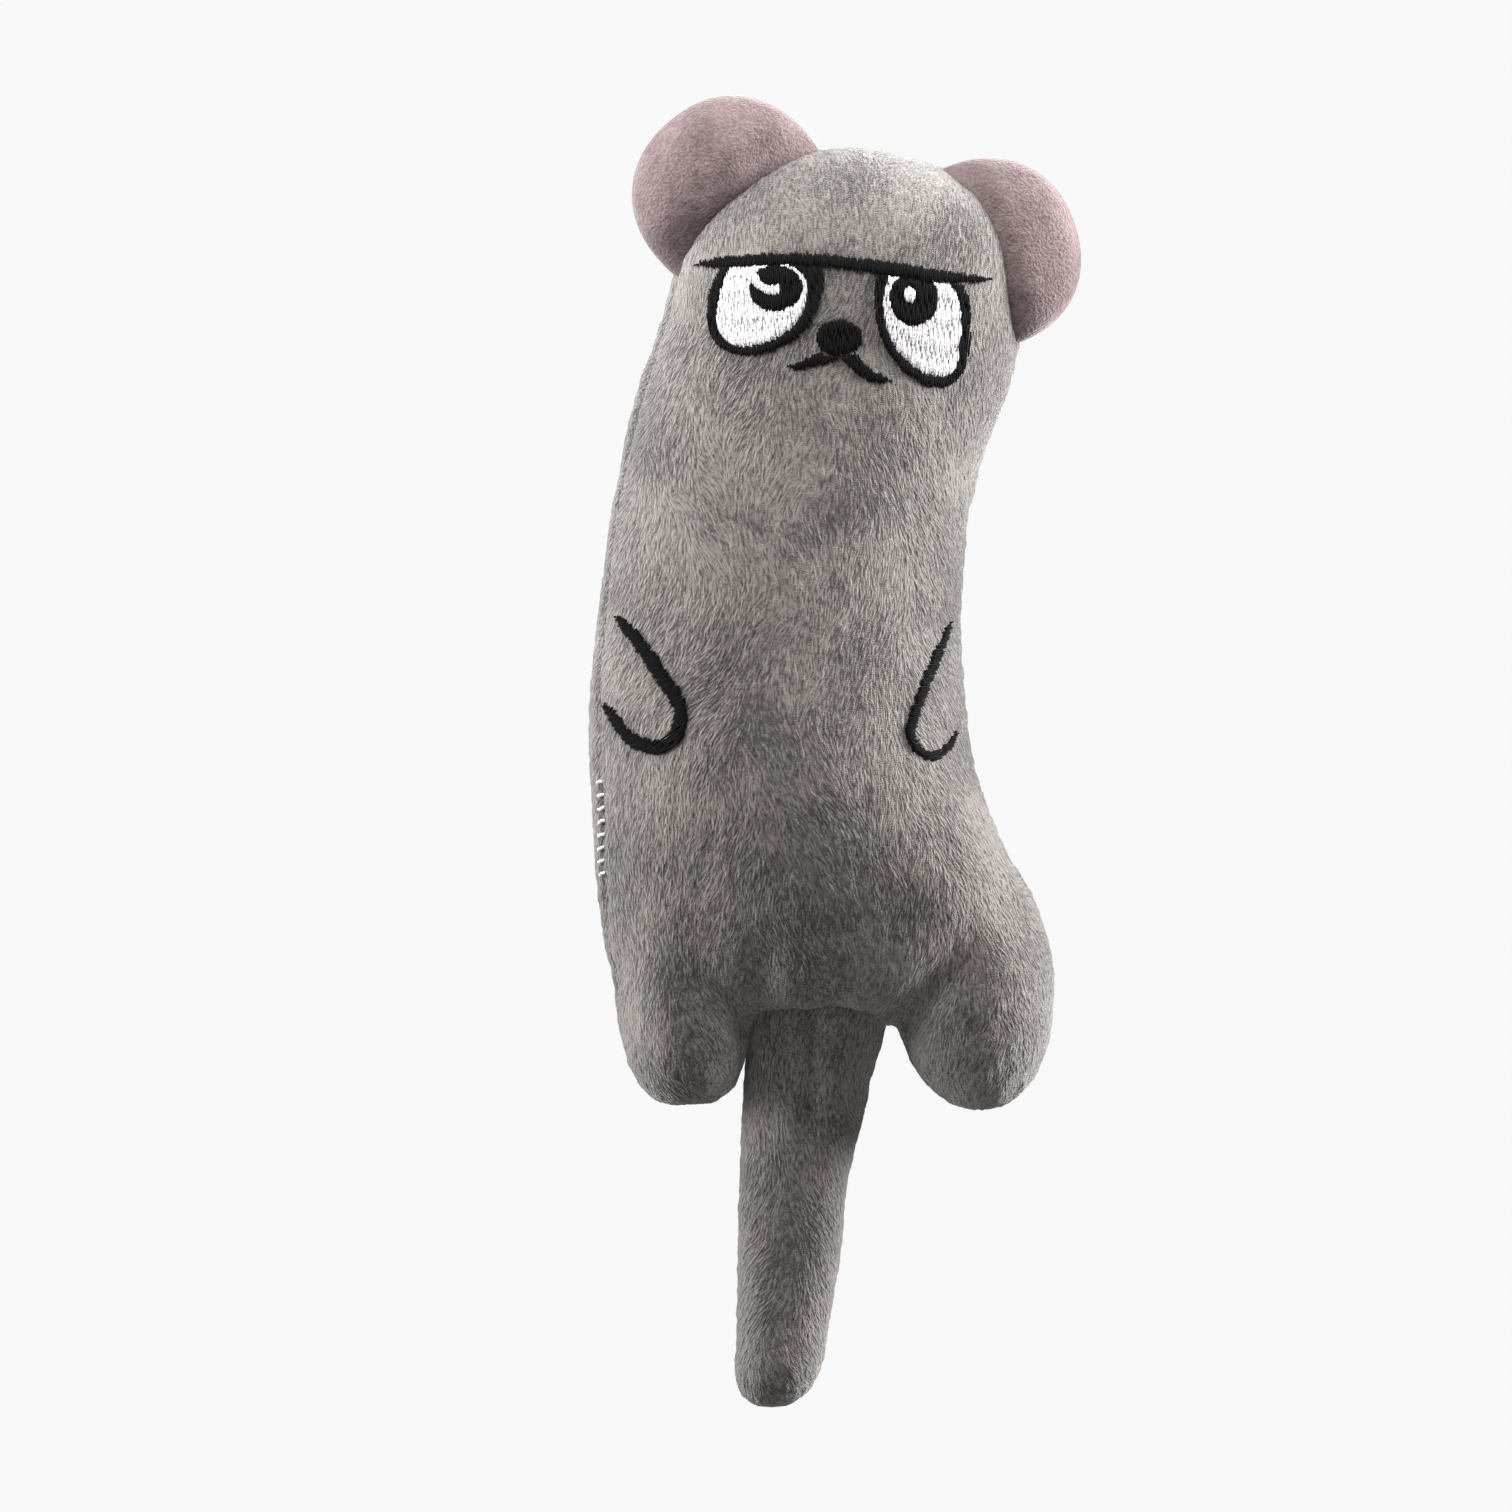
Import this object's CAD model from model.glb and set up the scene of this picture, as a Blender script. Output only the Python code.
import math
import random

import bmesh
import bpy
import numpy as np
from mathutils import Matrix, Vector, noise
from mathutils.bvhtree import BVHTree


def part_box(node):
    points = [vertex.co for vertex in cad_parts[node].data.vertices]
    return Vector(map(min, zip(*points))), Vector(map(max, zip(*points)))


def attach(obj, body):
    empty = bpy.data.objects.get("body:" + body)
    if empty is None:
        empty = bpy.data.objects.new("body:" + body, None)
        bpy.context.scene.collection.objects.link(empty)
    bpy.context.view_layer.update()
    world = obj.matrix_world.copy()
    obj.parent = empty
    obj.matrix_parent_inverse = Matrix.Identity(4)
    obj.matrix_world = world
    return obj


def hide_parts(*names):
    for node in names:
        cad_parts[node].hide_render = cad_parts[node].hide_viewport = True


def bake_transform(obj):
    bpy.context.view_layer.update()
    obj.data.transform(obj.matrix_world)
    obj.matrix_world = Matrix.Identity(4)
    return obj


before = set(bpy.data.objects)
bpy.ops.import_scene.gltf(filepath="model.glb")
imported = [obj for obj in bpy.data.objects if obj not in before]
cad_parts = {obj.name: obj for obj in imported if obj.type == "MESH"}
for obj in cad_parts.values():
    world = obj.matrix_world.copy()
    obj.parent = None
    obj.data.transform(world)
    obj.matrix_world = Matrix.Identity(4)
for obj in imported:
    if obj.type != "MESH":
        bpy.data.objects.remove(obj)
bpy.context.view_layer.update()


# ---- Shader maths ----

class Socket:
    """A shader value that can be written with ordinary arithmetic."""

    def __init__(self, tree, out):
        self.tree, self.out = tree, out

    def node(self, kind, inputs=(), output=0, **settings):
        """Any other node of this tree, with its inputs filled and one output wrapped."""
        made = self.tree.nodes.new(kind)
        for key, value in settings.items():
            setattr(made, key, value)
        for key, value in dict(inputs).items():
            if isinstance(value, Socket):
                self.tree.links.new(value.out, made.inputs[key])
            else:
                made.inputs[key].default_value = value
        return Socket(self.tree, made.outputs[output])

    def maths(self, operation, *values, clamp=False):
        return self.node("ShaderNodeMath", enumerate(values), operation=operation, use_clamp=clamp)

    def __add__(self, other): return self.maths("ADD", self, other)
    def __radd__(self, other): return self.maths("ADD", other, self)
    def __sub__(self, other): return self.maths("SUBTRACT", self, other)
    def __mul__(self, other): return self.maths("MULTIPLY", self, other)
    def __rmul__(self, other): return self.maths("MULTIPLY", other, self)
    def __truediv__(self, other): return self.maths("DIVIDE", self, other)
    def __rsub__(self, other): return self.maths("SUBTRACT", other, self)
    def clamp(self): return self.maths("ADD", self, 0.0, clamp=True)

    def vector(self, operation, other):
        return self.node("ShaderNodeVectorMath", {0: self, 1: other}, operation=operation)

    def mix(self, low, high):
        """A colour between low and high, with this value as the share of high."""
        return self.node("ShaderNodeMix", {0: self, 6: low, 7: high}, output=2, data_type="RGBA")

    def noise(self, scale, detail):
        return self.node("ShaderNodeTexNoise", {"Vector": self, "Scale": scale, "Detail": detail})

    def streaks(self, scale, along, reach, taps=5):
        """Noise smeared along a direction, so that it reads as combed fibres."""
        total = 0.0
        for tap in range(taps):
            step = reach * (tap / (taps - 1) - 0.5)
            if isinstance(along, Socket):
                shift = along.vector("MULTIPLY", (step, step, step))
            else:
                shift = tuple(step * a for a in along)
            total = self.vector("ADD", shift).noise(scale, 1.0) + total
        return total / taps


def material(name, roughness, sheen=0.0, sheen_roughness=0.5, sheen_tint=(1, 1, 1, 1)):
    """A Principled material with its fixed settings made, and its Object coordinates."""
    made = bpy.data.materials.new(name)
    made.use_nodes = True
    principled = made.node_tree.nodes["Principled BSDF"]
    principled.inputs["Roughness"].default_value = roughness
    principled.inputs["Specular IOR Level"].default_value = 0.25
    principled.inputs["Sheen Weight"].default_value = sheen
    principled.inputs["Sheen Roughness"].default_value = sheen_roughness
    principled.inputs["Sheen Tint"].default_value = sheen_tint
    tree = made.node_tree
    place = Socket(tree, tree.nodes.new("ShaderNodeTexCoord").outputs["Object"])
    return made, principled, place


def finish_material(principled, colour, height, distance, strength=1.0):
    """Feeds colour and a bump height to the Principled node."""
    colour.tree.links.new(colour.out, principled.inputs["Base Color"])
    bump = height.node("ShaderNodeBump", {"Height": height, "Distance": distance, "Strength": strength})
    height.tree.links.new(bump.out, principled.inputs["Normal"])


# ---- The plush body skin ----
# Front and back panels of short grey pile, sewn together round the side and stuffed hard, with the two
# legs sewn in one with them. The belly bulges over the crotch, and the nap lies in uneven streaks.

def new_object(name, mesh_data):
    made = bpy.data.objects.new(name, mesh_data)
    bpy.context.scene.collection.objects.link(made)
    return made


def applied(obj):
    """The object with its modifiers made permanent."""
    graph = bpy.context.evaluated_depsgraph_get()
    result = bpy.data.meshes.new_from_object(obj.evaluated_get(graph))
    obj.modifiers.clear()
    obj.data = result
    return obj


def coordinates(obj):
    found = np.empty(len(obj.data.vertices) * 3)
    obj.data.vertices.foreach_get("co", found)
    return found.reshape(-1, 3)


def normals(obj):
    found = np.empty(len(obj.data.vertices) * 3)
    obj.data.vertex_normals.foreach_get("vector", found)
    return found.reshape(-1, 3)


def place_vertices(obj, points):
    obj.data.vertices.foreach_set("co", points.reshape(-1).astype(np.float32))
    obj.data.update()


def tree_of(mesh):
    return BVHTree.FromPolygons([v.co for v in mesh.vertices], [f.vertices for f in mesh.polygons])


def smooth_step(low, high, value):
    share = np.clip((value - low) / (high - low), 0, 1)
    return share * share * (3 - 2 * share)


def nap(points, surface_normals):
    """The way the pile lies: swirled down the body, and fanned straight up the forehead."""
    way = np.empty_like(points)
    calm = 1 - 0.75 * smooth_step(0.062, 0.076, points[:, 1])
    for i, p in enumerate(points):
        turn = calm[i] * (1.1 * noise.noise(Vector(p) * 45) + 0.7 * noise.noise(Vector(p) * 190)) - p[0] * 14
        way[i] = (math.sin(turn), -math.cos(turn), -0.9 * max(0, 2 * calm[i] - 1))
    way -= surface_normals * np.sum(way * surface_normals, axis=1)[:, None]
    return way / np.maximum(np.linalg.norm(way, axis=1), 1e-9)[:, None]


def store_nap(obj, way):
    """Keeps the pile's direction on the mesh, where the plush material reads it."""
    kept = obj.data.attributes.new("nap", "FLOAT_VECTOR", "POINT")
    kept.data.foreach_set("vector", way.reshape(-1).astype(np.float32))


def smeared_noise(points, way, width, reach):
    """Noise of a given width, smeared along the nap."""
    taps = 5
    total = np.zeros(len(points))
    for tap in range(taps):
        moved = (points + way * (reach * (tap / (taps - 1) - 0.5))) / width
        total += [noise.noise(Vector(p)) for p in moved]
    return total / taps


def tuft_height(points, way):
    """The pile's relief, from fine strands and from the tufts that they gather into."""
    strands = smeared_noise(points, way, 0.0005, 0.0010)
    clumps = smeared_noise(points + 3, way, 0.0018, 0.0016)
    return strands + 0.6 * clumps


# The side seam's height on the centre line against its place along the body, both in mm
SEAM_ALONG = [-60, -42, -30, -20, -10, 0, 20, 60, 105]
SEAM_RISE = [9.5, 10.0, 12.6, 16.6, 18.8, 19.2, 18.4, 17.0, 16.5]
SEAM_SLOPE = math.tan(math.radians(5))


def seam_z(x, y):
    """The side seam's height above the table at a place seen from above."""
    return np.interp(y * 1000, SEAM_ALONG, SEAM_RISE) / 1000 - x * SEAM_SLOPE


def above_seam(points):
    """How far above the side seam each point is."""
    return points[:, 2] - seam_z(points[:, 0], points[:, 1])


def near_line(points, start, end, width):
    """How near each point is to a line seen from above, 1 on it, and its share of the way along."""
    start, end = np.array(start), np.array(end)
    run = end - start
    share = np.clip((points[:, :2] - start) @ run / (run @ run), 0, 1)
    away = np.linalg.norm(points[:, :2] - start - share[:, None] * run, axis=1)
    return np.exp(-(away / width) ** 2), share


body_skin = new_object("body_skin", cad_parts["body_stuffing"].data.copy())
remesh = body_skin.modifiers.new("voxels", "REMESH")
remesh.mode, remesh.voxel_size = "VOXEL", 0.0016
applied(body_skin)
FABRIC_OUTSIDE = 0.0021      # from the stuffing to the outside of the fabric
skin_points = coordinates(body_skin)
skin_points += normals(body_skin) * FABRIC_OUTSIDE
skin_points[:, 2] = np.maximum(skin_points[:, 2], 0)
place_vertices(body_skin, skin_points)
relax = body_skin.modifiers.new("relax", "SMOOTH")
relax.factor, relax.iterations = 0.5, 6
applied(body_skin)

CLOTH_LIMIT = 0.0005         # how far the pressure may move the fabric
before_cloth = coordinates(body_skin)
cloth = body_skin.modifiers.new("cloth", "CLOTH")
cloth.settings.use_pressure = True
cloth.settings.uniform_pressure_force = 4
cloth.settings.effector_weights.gravity = 0
cloth.settings.quality = 5
for frame_number in range(1, 21):
    bpy.context.scene.frame_set(frame_number)
applied(body_skin)
bpy.context.scene.frame_set(1)
moved = coordinates(body_skin) - before_cloth
reach = np.linalg.norm(moved, axis=1)[:, None]
place_vertices(body_skin, before_cloth + moved * np.minimum(1, CLOTH_LIMIT / np.maximum(reach, 1e-9)))

skin_points, skin_normals = coordinates(body_skin), normals(body_skin)
across, along, height = skin_points.T

# Soft valleys run up from the crotch between the belly and each leg
fold = np.zeros(len(skin_points))
for start, end, width in (
    ((0.0095, -0.0425), (0.0190, -0.0300), 0.0030),
    ((-0.0120, -0.0420), (-0.0105, -0.0290), 0.0026),
):
    near, share = near_line(skin_points, start, end, width)
    fold += near * (1 - 0.6 * share) * smooth_step(0.012, 0.020, height)

# Uneven stuffing, the full corner of the head, the belly's slope to the tail, and the right hip
dents = np.array([noise.noise(Vector(p) * 55) + 0.5 * noise.noise(Vector(p) * 130) for p in skin_points])
crown = np.exp(-(np.linalg.norm(skin_points[:, :2] - (0.0195, 0.0805), axis=1) / 0.010) ** 2)
slope = np.exp(-((across + 0.001) / 0.011) ** 2) * smooth_step(-0.027, -0.041, along)
slope *= smooth_step(0.012, 0.018, height)
hip = np.exp(-((along + 0.0335) / 0.006) ** 2) * smooth_step(-0.030, -0.036, across)
EVEN_PUSH = 0.0006           # makes up for what the cloth draws in
FOLD_DEPTH, SLOPE_DEPTH = 0.0016, 0.0018
DENT_RISE, CROWN_RISE, HIP_RISE = 0.0005, 0.0013, 0.0006
push = EVEN_PUSH - FOLD_DEPTH * fold + DENT_RISE * dents + CROWN_RISE * crown + HIP_RISE * hip
push -= SLOPE_DEPTH * slope
skin_points += skin_normals * push[:, None]
skin_points[:, 2] = np.maximum(skin_points[:, 2], 0)
place_vertices(body_skin, skin_points)
coarse_skin = body_skin.data.copy()

subdivide = body_skin.modifiers.new("subdivide", "SUBSURF")
subdivide.levels = subdivide.render_levels = 2
applied(body_skin)
skin_tree = tree_of(body_skin.data)

skin_points, skin_normals = coordinates(body_skin), normals(body_skin)
way = nap(skin_points, skin_normals)
tufts = tuft_height(skin_points, way)
from_seam = above_seam(skin_points)
GROOVE_WIDTH, GROOVE_DEPTH = 0.0007, 0.0007
PUCKER_WIDTH, PUCKER_RISE = 0.0025, 0.00008
TUFT_RISE = 0.0003
groove = np.exp(-(from_seam / GROOVE_WIDTH) ** 2)
pucker = np.exp(-(from_seam / PUCKER_WIDTH) ** 2) * np.sin(skin_points[:, 1] * 1900 + 6 * dents[0])
rise = TUFT_RISE * tufts - GROOVE_DEPTH * groove + PUCKER_RISE * pucker
skin_points += skin_normals * rise[:, None]
skin_points[:, 2] = np.maximum(skin_points[:, 2], 0.00005 + 0.0001 * tufts.clip(0))
place_vertices(body_skin, skin_points)
store_nap(body_skin, way)

FABRIC_THICKNESS = 0.0015
STUFFING_DEPTH = 0.0023      # from the outside of the fabric to the stuffing


def cut_at_seam(form, side):
    """Keeps the faces on one side of the seam, 1 for the front and -1 for the back."""
    beyond = [f for f in form.faces if side * above_seam(np.array([f.calc_center_median()]))[0] < 0]
    bmesh.ops.delete(form, geom=beyond, context="FACES")


def panel(name, side):
    """One closed fabric panel: the skin on one side of the seam, with its lining face."""
    shell = bmesh.new()
    shell.from_mesh(body_skin.data)
    cut_at_seam(shell, side)
    lining = bmesh.new()
    lining.from_mesh(coarse_skin)
    lining.normal_update()
    for vertex in lining.verts:
        vertex.co -= vertex.normal * FABRIC_THICKNESS
    cut_at_seam(lining, side)
    bmesh.ops.reverse_faces(lining, faces=lining.faces)
    lining_mesh = bpy.data.meshes.new("lining")
    lining.to_mesh(lining_mesh)
    shell.from_mesh(lining_mesh)
    bmesh.ops.bridge_loops(shell, edges=[e for e in shell.edges if e.is_boundary])
    bmesh.ops.recalc_face_normals(shell, faces=shell.faces)
    made = bpy.data.meshes.new(name)
    shell.to_mesh(made)
    made.shade_smooth()
    return new_object(name, made)


body_front = panel("body_front", 1)
body_back = panel("body_back", -1)
bpy.data.objects.remove(body_skin)

plush, plush_shader, place = material("grey_plush", 0.95, 0.55, 0.5, (0.92, 0.9, 0.9, 1))
combed = place.node("ShaderNodeAttribute", attribute_name="nap", output=1)
streak = place.streaks(2600, combed, 0.0006, 3)
fine = place.streaks(4600, combed, 0.0005, 3)
patchy = place.noise(75, 3.0)
depth = ((streak - 0.5) * 4.8 + (fine - 0.5) * 2.6 + (patchy - 0.5) * 2.2 + 0.5).clamp()
grey = depth.mix((0.0325, 0.0285, 0.0265, 1), (0.166, 0.147, 0.134, 1))
TAIL_DARKER = 0.26           # the share of its tone that the pile loses down the tail
down_body = place.node("ShaderNodeSeparateXYZ", {0: place}, output=1) * -1
down_tail = ((down_body - 0.054) * 60).clamp()
tone = grey.vector("MULTIPLY", 1 - down_tail * TAIL_DARKER)
finish_material(plush_shader, tone, streak + fine * 0.6, 0.0010, 0.9)

for piece, node in ((body_front, "body_front_panel"), (body_back, "body_back_panel")):
    piece.data.materials.clear()
    piece.data.materials.append(plush)
    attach(piece, "body")
    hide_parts(node)

# ---- The stuffing inside the body ----
# Loose white polyester fibre, pushed in through the gap in the side seam and packed against the inside
# of the fabric.

body_fill = new_object("body_fill", coarse_skin)
fill_points = coordinates(body_fill) - normals(body_fill) * STUFFING_DEPTH
place_vertices(body_fill, fill_points)
body_fill.data.shade_smooth()
fibre, fibre_shader, place = material("fibre_fill", 0.95, 0.3)
fluff = place.streaks(500, (1, 0.6, 0.3), 0.004)
finish_material(fibre_shader, fluff.mix((0.72, 0.72, 0.7, 1), (0.9, 0.9, 0.88, 1)), fluff, 0.001)
body_fill.data.materials.clear()
body_fill.data.materials.append(fibre)
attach(body_fill, "body")
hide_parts("body_stuffing")


def skin_height(x, y):
    """The front surface's height above the table at a point seen from above."""
    found = skin_tree.ray_cast(Vector((x, y, 0.1)), Vector((0, 0, -1)))
    return found[0].z if found[0] else 0.02


# ---- Stabiliser sheets ----
# Thin white non-woven cloth behind the face and behind each arm, ironed on before the embroidery is
# stitched. It ends up between the fabric and the stuffing.

outer_tree = tree_of(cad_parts["body_front_panel"].data)
stabiliser, stabiliser_shader, place = material("stabiliser", 0.9)
felt = place.noise(1500, 4.0)
finish_material(stabiliser_shader, felt.mix((0.66, 0.66, 0.64, 1), (0.8, 0.8, 0.78, 1)), felt, 0.0003)
for node in ("face_backing", "right_arm_backing", "left_arm_backing"):
    sheet = new_object(node + "_sheet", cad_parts[node].data.copy())
    sheet_points = coordinates(sheet)
    for point in sheet_points:
        outer = outer_tree.ray_cast(Vector((point[0], point[1], 0.1)), Vector((0, 0, -1)))[0]
        if outer:
            point[2] += skin_height(point[0], point[1]) - outer.z - 0.0001
    place_vertices(sheet, sheet_points)
    sheet.data.materials.clear()
    sheet.data.materials.append(stabiliser)
    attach(sheet, "body")
    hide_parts(node)

# ---- Embroidery ----
# Each shape is filled with parallel threads that dip into the fabric at both ends, as a machine lays
# them. Their ends are a little ragged, and now and then the fabric shows between two of them.

black_thread, black_shader, place = material("black_thread", 0.75)
black_shader.inputs["Specular IOR Level"].default_value = 0.06
twist = place.streaks(3200, (0.3, 1, 0), 0.0008, 3)
soft_black = twist.mix((0.0015, 0.0014, 0.0014, 1), (0.007, 0.0065, 0.0065, 1))
finish_material(black_shader, soft_black, twist, 0.0002)
white_thread, white_shader, place = material("white_thread", 0.5, 0.2, 0.4)
twist = place.streaks(3200, (0.3, 1, 0), 0.0008, 3)
specks = ((place.noise(2600, 1.0) - 0.5) * 5 + (twist - 0.5) * 2 + 0.75).clamp()
off_white = specks.mix((0.34, 0.32, 0.33, 1), (0.70, 0.68, 0.69, 1))
finish_material(white_shader, off_white, twist, 0.0002)

STITCH_LENGTH = 0.0042       # a longer line of thread is laid in several stitches
THREAD_RADIUS = 0.00017
THREAD_PITCH = 0.00029
POINTS_PER_STITCH = 7
SHORTEST_STITCH = 0.0012
END_HEIGHT = 0.00012         # of a stitch's centre line above the fabric, at its ends
ARCH_HEIGHT = 0.00033        # how much higher it stands halfway


def embroider(node, thread_material, angle, seed, lift=0.0, trim=0.0):
    """Threads laid at an angle over the shape that a CAD patch marks out, trimmed at both ends."""
    chance = random.Random(seed)
    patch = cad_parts[node]
    mask = tree_of(patch.data)
    low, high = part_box(node)
    centre = Vector(((low[0] + high[0]) / 2, (low[1] + high[1]) / 2))
    half = math.hypot(high[0] - low[0], high[1] - low[1]) / 2
    along = Vector((math.cos(angle), math.sin(angle)))
    across = Vector((-along.y, along.x))
    outline = bpy.data.curves.new(node + "_threads", "CURVE")
    outline.dimensions = "3D"
    outline.bevel_depth, outline.bevel_resolution, outline.use_fill_caps = THREAD_RADIUS, 1, True
    step = 0.00012
    for column in range(int(2 * half / THREAD_PITCH)):
        offset = -half + (column + chance.uniform(-0.18, 0.18)) * THREAD_PITCH
        inside = []
        for i in range(int(2 * half / step)):
            spot = centre + across * offset + along * (i * step - half)
            if mask.ray_cast(Vector((spot.x, spot.y, 0.1)), Vector((0, 0, -1)))[0]:
                inside.append(i)
        runs = []
        for i in inside:
            if runs and i - runs[-1][1] <= 2:
                runs[-1][1] = i
            else:
                runs.append([i, i])
        for first, last in runs:
            start = first * step - half + trim - chance.uniform(-0.0002, 0.0003)
            end = last * step - half - trim + chance.uniform(-0.0002, 0.0003)
            cuts = [start]
            reach = start + STITCH_LENGTH * (0.45 + 0.5 * ((column * 0.37) % 1))
            while reach < end - SHORTEST_STITCH:
                cuts.append(reach)
                reach += STITCH_LENGTH
            cuts.append(end)
            for a, b in zip(cuts, cuts[1:]):
                spline = outline.splines.new("POLY")
                spline.points.add(POINTS_PER_STITCH - 1)
                for k in range(POINTS_PER_STITCH):
                    share = k / (POINTS_PER_STITCH - 1)
                    aside = offset + chance.uniform(-1, 1) * 0.00002
                    spot = centre + across * aside + along * (a + (b - a) * share)
                    arch = math.sin(math.pi * share) ** 0.5
                    height = skin_height(spot.x, spot.y) + lift + END_HEIGHT + ARCH_HEIGHT * arch
                    spline.points[k].co = (spot.x, spot.y, height, 1)
                    spline.points[k].radius = 0.72 + 0.28 * arch
    laid = new_object(node + "_curve", outline)
    graph = bpy.context.evaluated_depsgraph_get()
    threads = new_object(node + "_thread", bpy.data.meshes.new_from_object(laid.evaluated_get(graph)))
    bpy.data.objects.remove(laid)
    threads.data.shade_smooth()
    threads.data.materials.clear()
    threads.data.materials.append(thread_material)
    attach(threads, "body")
    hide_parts(node)
    return threads


embroider("brow_embroidery", black_thread, math.radians(97), 1, lift=0.0002)
embroider("right_eye_outline", black_thread, math.radians(100), 2, lift=0.0001)
embroider("right_eye_white", white_thread, math.radians(97), 3)
embroider("right_eye_pupil", black_thread, math.radians(95), 4, lift=0.0001)
embroider("right_eye_glint", white_thread, math.radians(95), 5, lift=0.0002)
embroider("left_eye_outline", black_thread, math.radians(84), 6, lift=0.0001)
embroider("left_eye_white", white_thread, math.radians(87), 7)
embroider("left_eye_pupil", black_thread, math.radians(86), 8, lift=0.0001)
embroider("left_eye_glint", white_thread, math.radians(86), 9, lift=0.0002)
embroider("nose_embroidery", black_thread, math.radians(90), 10)
embroider("mouth_right_embroidery", black_thread, math.radians(75), 11, trim=0.0002)
embroider("mouth_left_embroidery", black_thread, math.radians(110), 12, trim=0.0002)
embroider("right_arm_embroidery", black_thread, math.radians(35), 13)
embroider("left_arm_embroidery", black_thread, math.radians(15), 14)

# ---- Closing stitches ----
# White hand stitches in doubled thread, which pull the last gap in the side seam shut after stuffing.
# They lie across the seam and dip into the pile at both ends.

LADDER_RADIUS = 0.00026
ladder = bpy.data.curves.new("ladder", "CURVE")
ladder.dimensions = "3D"
ladder.bevel_depth, ladder.bevel_resolution, ladder.use_fill_caps = LADDER_RADIUS, 2, True
chance = random.Random(20)
STITCHES_X = -0.0362
FIRST_STITCH_Y = -0.0045
STITCH_SPACING = 0.002
STITCH_HEIGHT = 0.0017       # how far a stitch reaches across the seam
for number in range(8):
    y = FIRST_STITCH_Y - number * STITCH_SPACING
    spline = ladder.splines.new("POLY")
    spline.points.add(4)
    for k in range(5):
        share = k / 4 - 0.5
        leaning_y = y + 0.0004 * share + chance.uniform(-0.0001, 0.0001)
        spot = Vector((STITCHES_X, leaning_y, seam_z(STITCHES_X, y) + STITCH_HEIGHT * share))
        near, facing = skin_tree.find_nearest(spot)[:2]
        near += facing * (0.0002 - 0.0006 * (2 * abs(share)) ** 2)
        spline.points[k].co = (*near, 1)
laid = new_object("ladder_curve", ladder)
graph = bpy.context.evaluated_depsgraph_get()
stitches = new_object("ladder_stitches", bpy.data.meshes.new_from_object(laid.evaluated_get(graph)))
bpy.data.objects.remove(laid)
stitches.data.shade_smooth()
stitches.data.materials.clear()
stitches.data.materials.append(white_thread)
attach(stitches, "body")
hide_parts("closing_stitches")

# ---- Ears ----
# Two round velour bags, turned, stuffed and sewn into the head seam at a pinched root, so that they
# wrap the head like fat rolls. The velour is smoother and pinker than the body's pile.

velour, velour_shader, place = material("ear_velour", 0.9, 0.5, 0.4, (0.95, 0.86, 0.86, 1))
pressed = place.noise(2200, 3.0)
cloudy = place.noise(170, 2.0)
speckle = place.noise(800, 2.0)
shade = ((pressed - 0.5) * 1.2 + (cloudy - 0.5) * 1.1 + (speckle - 0.5) * 0.8 + 0.5).clamp()
pink = shade.mix((0.070, 0.046, 0.047, 1), (0.190, 0.142, 0.143, 1))
finish_material(velour_shader, pink, pressed, 0.0005, 0.8)


FABRIC_TO_FILL = 0.0016      # from the outside of an ear or the tail to the fibre inside it
SQUARENESS = 2.2             # of an ear's outline, where 2 is a circle


def ear(name, centre, radius, half_thickness, outward):
    """A stuffed round ear, pinched where it enters the head, and the fibre inside it."""
    middle = Vector(centre)
    out = Vector((outward[0], outward[1], 0)).normalized()
    for part, inset, cover in (("skin", 0.0, velour), ("fill", FABRIC_TO_FILL, fibre)):
        form = bmesh.new()
        bmesh.ops.create_uvsphere(form, u_segments=128, v_segments=72, radius=1)
        for vertex in form.verts:
            flat = math.hypot(vertex.co.x, vertex.co.y)
            rise = abs(vertex.co.z)
            bearing = Vector((vertex.co.x, vertex.co.y, 0)) / max(flat, 1e-9)
            wide = (radius - inset) * flat ** 0.8
            high = (half_thickness - inset) * rise ** 0.72
            aside = abs(bearing.dot(out))
            wide /= (aside ** SQUARENESS + (1 - aside * aside) ** (SQUARENESS / 2)) ** (1 / SQUARENESS)
            spot = bearing * wide
            from_root = min(max((spot.dot(out) + 0.003) / 0.009, 0), 1)
            pinch = 0.45 + 0.55 * math.sin(from_root * math.pi / 2)
            place_on_ear = middle + spot
            wave = noise.noise(place_on_ear * 90) * 0.0006 + noise.noise(place_on_ear * 220) * 0.0002
            side = math.copysign(high * pinch + wave * min(1, rise * 3), vertex.co.z)
            vertex.co = middle + spot + Vector((0, 0, side))
        made = bpy.data.meshes.new(f"{name}_{part}")
        form.to_mesh(made)
        made.shade_smooth()
        bag = new_object(f"{name}_{part}", made)
        bag.data.materials.append(cover)
        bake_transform(bag)
        if part == "skin":
            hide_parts(f"{name}_front_panel", f"{name}_back_panel")
        else:
            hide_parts(f"{name}_stuffing")


ear("right_ear", (-0.0155, 0.0848, 0.0172), 0.0148, 0.0072, (-0.649, 0.761))
ear("left_ear", (0.0229, 0.0759, 0.0172), 0.01445, 0.0072, (0.946, 0.323))

# ---- Tail ----
# A broad flat-bottomed sausage of the same plush, stuffed with the same fibre and sewn into the seam
# under the belly, where it bends.

# Places along the tail, as -y from its hidden root to where the tip begins, and its shape at each
TAIL_DOWN = [0.036, 0.040, 0.044, 0.050, 0.057, 0.0694, 0.0816, 0.091]
TAIL_SHAPE = (
    [-0.0024, -0.0026, -0.0030, -0.0041, -0.0051, -0.0063, -0.0074, -0.0081],    # x of the middle
    [0.0104, 0.0106, 0.0105, 0.0097, 0.0089, 0.0080, 0.0073, 0.0067],            # half width
    [0.0106, 0.0104, 0.0094, 0.0082, 0.0072, 0.0067, 0.0066, 0.0064],            # half height
    [0.0100, 0.0095, 0.0088, 0.0078, 0.0070, 0.0065, 0.0064, 0.0062],            # z of the middle
)
TAIL_TIP = 0.009             # length of the rounded tip
TIP_LEAN = 0.0014            # how far the tip leans to the right side


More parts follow.
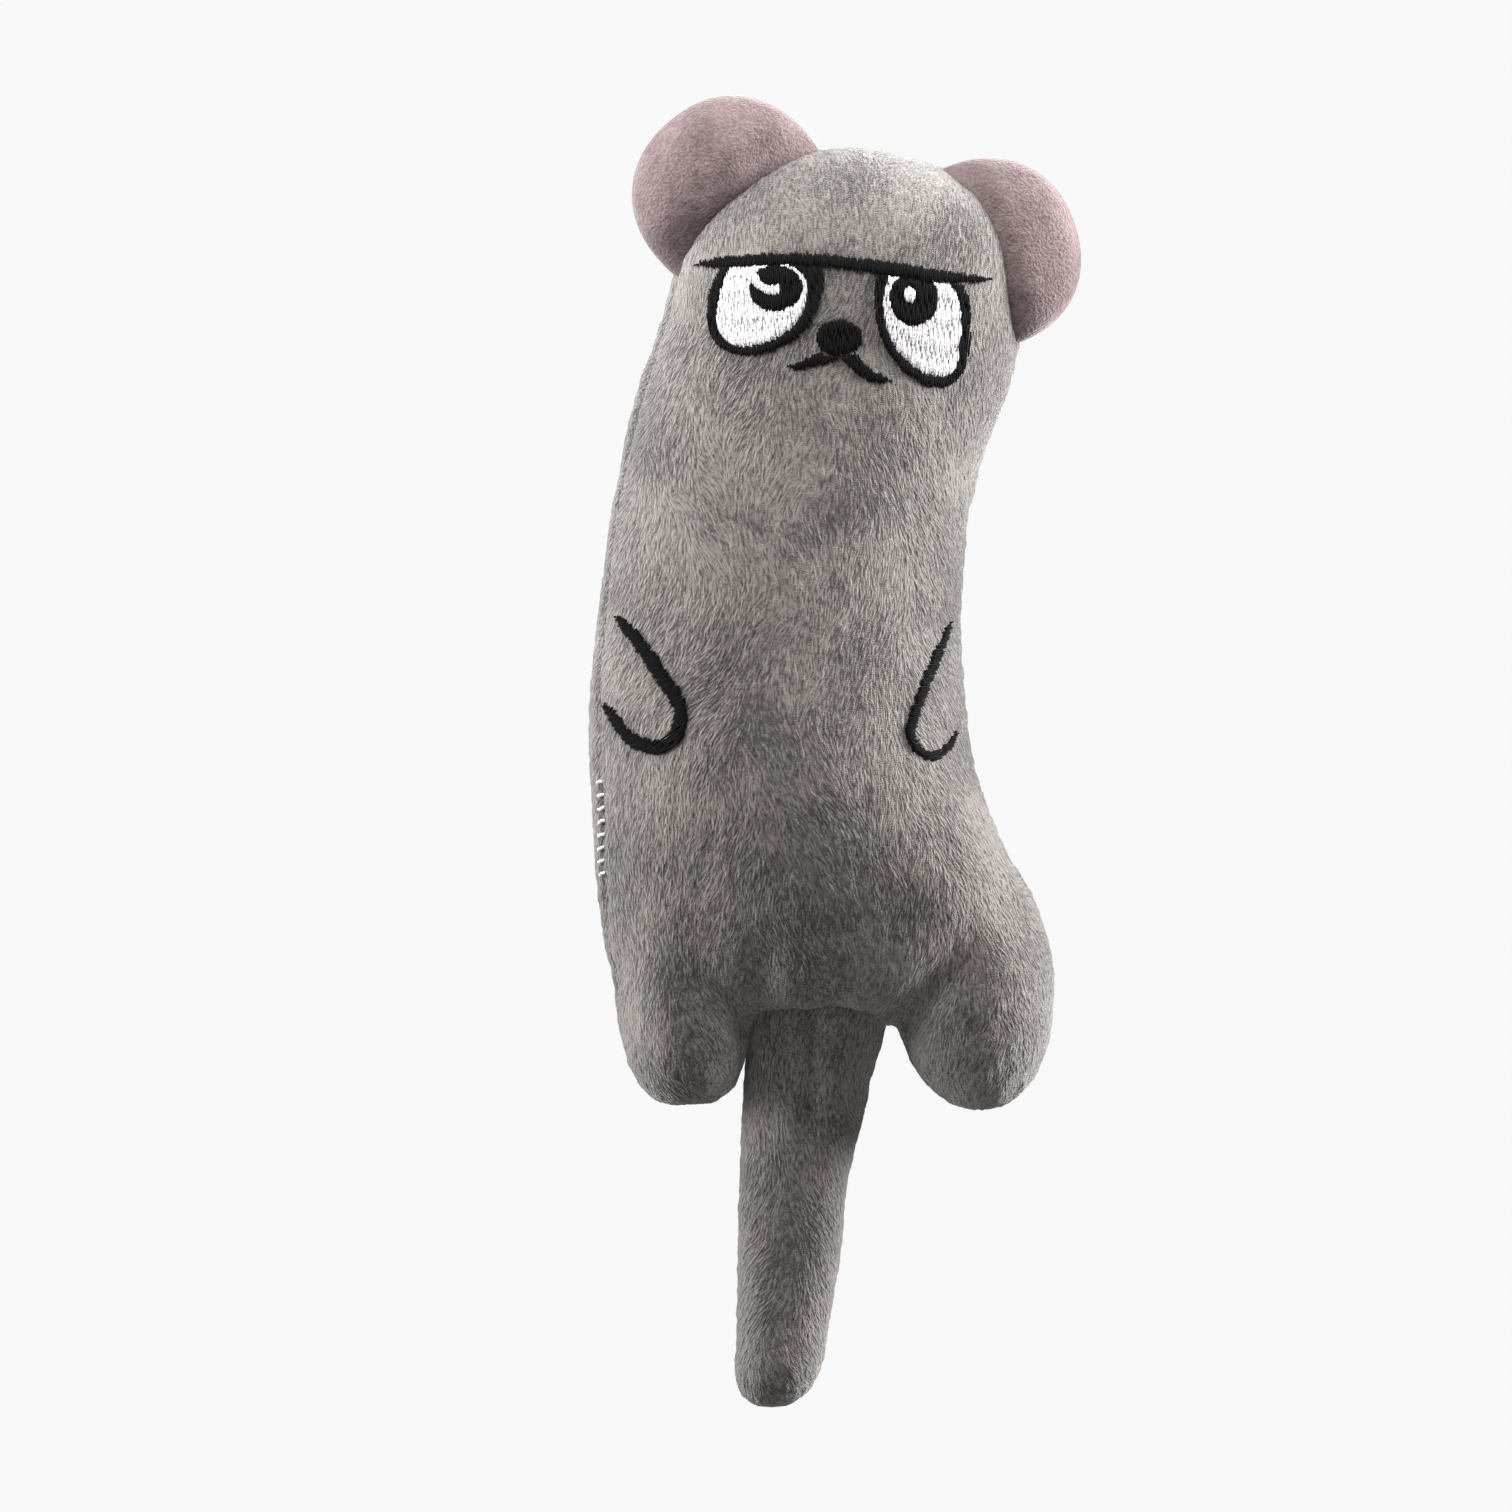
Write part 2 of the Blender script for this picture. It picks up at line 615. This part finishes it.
def power(value, exponent):
    """A power that keeps the value's sign, to square off a round section."""
    return math.copysign(abs(value) ** exponent, value)


def tail(name, inset, divisions):
    """The tail's closed form, drawn in by the inset: a grid rolled into a tube that closes at the tip."""
    form = bmesh.new()
    bmesh.ops.create_grid(form, x_segments=divisions[0], y_segments=divisions[1], size=0.5)
    tip = TAIL_TIP - inset
    length = TAIL_DOWN[-1] - TAIL_DOWN[0]
    for vertex in form.verts:
        turn = (vertex.co.x + 0.5) * 2 * math.pi
        travel = (vertex.co.y + 0.5) * (length + tip)
        down = TAIL_DOWN[0] + travel
        beyond = max(0.0, min(1.0, (travel - length) / tip))
        closing = max(0.0, 1 - beyond ** 2.5) ** 0.46
        middle_x, half_width, half_height, middle_z = [np.interp(down, TAIL_DOWN, row) for row in TAIL_SHAPE]
        wide = max((half_width - inset) * closing, 1e-5)
        high = max((half_height - inset) * closing, 1e-5)
        x = middle_x - TIP_LEAN * beyond + wide * power(math.cos(turn), 0.9)
        z = middle_z + high * power(math.sin(turn), 0.85)
        vertex.co = (x, -down, max(z, 0.0001 + inset))
    bmesh.ops.remove_doubles(form, verts=form.verts, dist=0.00002)
    bmesh.ops.holes_fill(form, edges=[e for e in form.edges if e.is_boundary])
    bmesh.ops.recalc_face_normals(form, faces=form.faces)
    made = bpy.data.meshes.new(name)
    form.to_mesh(made)
    made.shade_smooth()
    return new_object(name, made)


tail_skin = tail("tail_skin", 0.0, (130, 190))
tail_points, tail_normals = coordinates(tail_skin), normals(tail_skin)
across, along, height = tail_points.T
way = nap(tail_points, tail_normals)
tufts = tuft_height(tail_points, way)
dents = np.array([noise.noise(Vector(p) * 80) for p in tail_points])

# A shallow valley runs down the top of the tail from its root
valley = np.exp(-((across + 0.0036) / 0.0016) ** 2) * smooth_step(-0.066, -0.052, along)
valley *= smooth_step(0.008, 0.011, height)
TAIL_DENT_RISE, VALLEY_DEPTH = 0.0006, 0.0012
tail_rise = TUFT_RISE * tufts + TAIL_DENT_RISE * dents - VALLEY_DEPTH * valley
tail_points += tail_normals * tail_rise[:, None]
tail_points[:, 2] = np.maximum(tail_points[:, 2], 0.00005)
place_vertices(tail_skin, tail_points)
store_nap(tail_skin, way)
tail_fill = tail("tail_fill", FABRIC_TO_FILL, (48, 60))
for piece, cover, nodes, slot_name in (
    (tail_skin, plush, ("tail_front_panel", "tail_back_panel"), "plush"),
    (tail_fill, fibre, ("tail_stuffing",), "fibre_fill"),
):
    piece.data.materials.append(cover)
    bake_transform(piece)
    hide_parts(*nodes)

# ---- Light, background and camera ----

world = bpy.data.worlds.new("studio")
world.use_nodes = True
bpy.context.scene.world = world
sky = world.node_tree.nodes["Background"]
path = world.node_tree.nodes.new("ShaderNodeLightPath")
seen = Socket(world.node_tree, path.outputs["Is Camera Ray"])
strength = seen * 0.67 + 0.27
world.node_tree.links.new(strength.out, sky.inputs["Strength"])
sky.inputs["Color"].default_value = (1, 1, 1, 1)


def lamp(name, place, target, width, watts):
    light = bpy.data.lights.new(name, "AREA")
    light.shape, light.size, light.energy = "DISK", width, watts
    held = new_object(name, light)
    held.location = place
    held.rotation_euler = (Vector(target) - Vector(place)).to_track_quat("-Z", "Y").to_euler()


lamp("key_from_head", (-0.11, 0.26, 0.15), (-0.01, 0.03, 0.02), 0.28, 1.8)
lamp("left_side", (-0.5, 0.06, 0.06), (0, 0.03, 0.02), 0.3, 5.0)
lamp("right_side", (0.5, 0.20, 0.05), (0, 0.02, 0.02), 0.3, 12.0)
lamp("low_fill", (0, -0.32, 0.28), (0, -0.03, 0.02), 0.30, 0.28)

camera = bpy.data.cameras.new("camera")
camera.sensor_width, camera.lens = 36, 391.3
viewer = new_object("camera", camera)
viewer.location = (-0.01186, -0.00038, 2.516)
viewer.rotation_euler = (0, 0, 0)
bpy.context.scene.camera = viewer
bpy.context.scene.view_settings.view_transform = "Standard"
